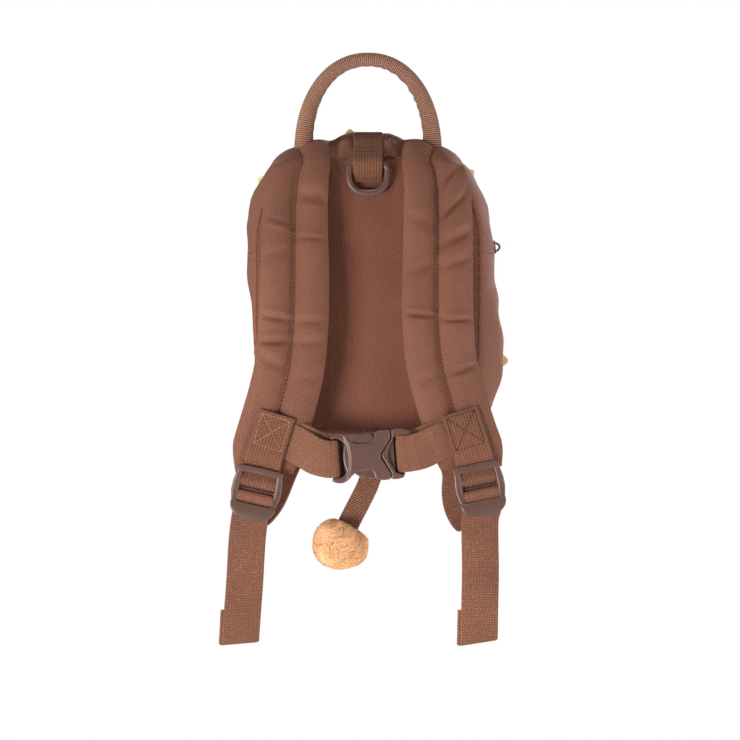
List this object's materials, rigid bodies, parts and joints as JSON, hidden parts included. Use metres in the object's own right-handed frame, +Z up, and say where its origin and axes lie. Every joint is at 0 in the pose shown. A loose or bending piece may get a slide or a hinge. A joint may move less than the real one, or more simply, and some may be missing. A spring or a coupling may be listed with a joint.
{
  "type": "toddler backpack",
  "caption": "Small arched backpack with a zipped top, padded shoulder straps, a buckled chest strap, ladder-lock adjusters, a grab handle, a D-ring loop and a pompom tail.",
  "frame": {"origin": "underside of the grab handle at the top of its arch, where a hook or hand carries the bag", "axes": "+Z up, +X to the right seen from the harness side, harness towards -Y, bag front towards +Y"},
  "size_m": [0.1997, 0.1368, 0.4097],
  "materials": {
    "twill": "matte woven twill",
    "ribbed_cloth": "matte ribbed cloth",
    "webbing": "matte woven webbing",
    "moulded_plastic": "satin moulded plastic",
    "plush": "short pile plush",
    "gold_felt": "matte felt",
    "zip": "woven tape with coil teeth"
  },
  "bodies": {
    "pack": {"back_panel": "ribbed_cloth", "front_panel": "twill", "gusset_lower": "twill", "gusset_back_strip": "twill", "gusset_front_strip": "twill", "zip_tape": "zip", "zip_slider": "moulded_plastic", "trim_point_top": "gold_felt", "trim_point_left": "gold_felt", "trim_point_right": "gold_felt", "trim_point_low": "gold_felt", "shoulder_strap_left": "twill", "shoulder_strap_right": "twill", "strap_tab_left": "webbing", "strap_tab_right": "webbing", "ladder_lock_left": "moulded_plastic", "ladder_lock_right": "moulded_plastic", "adjuster_web_left": "webbing", "adjuster_web_right": "webbing", "chest_web_left": "webbing", "chest_web_right": "webbing", "buckle_socket": "moulded_plastic", "buckle_plug": "moulded_plastic", "grab_handle": "webbing", "ring_loop": "webbing", "tail_web": "webbing", "tail_pompom": "plush"},
    "ring": {"d_ring": "moulded_plastic"}
  },
  "joints": [
    {"name": "ring_swing", "type": "hinge", "parent": "pack", "child": "ring", "pos_m": [0, -0.0182, -0.0704], "axis": [-1, 0, 0], "range_deg": [0, 150]}
  ]
}
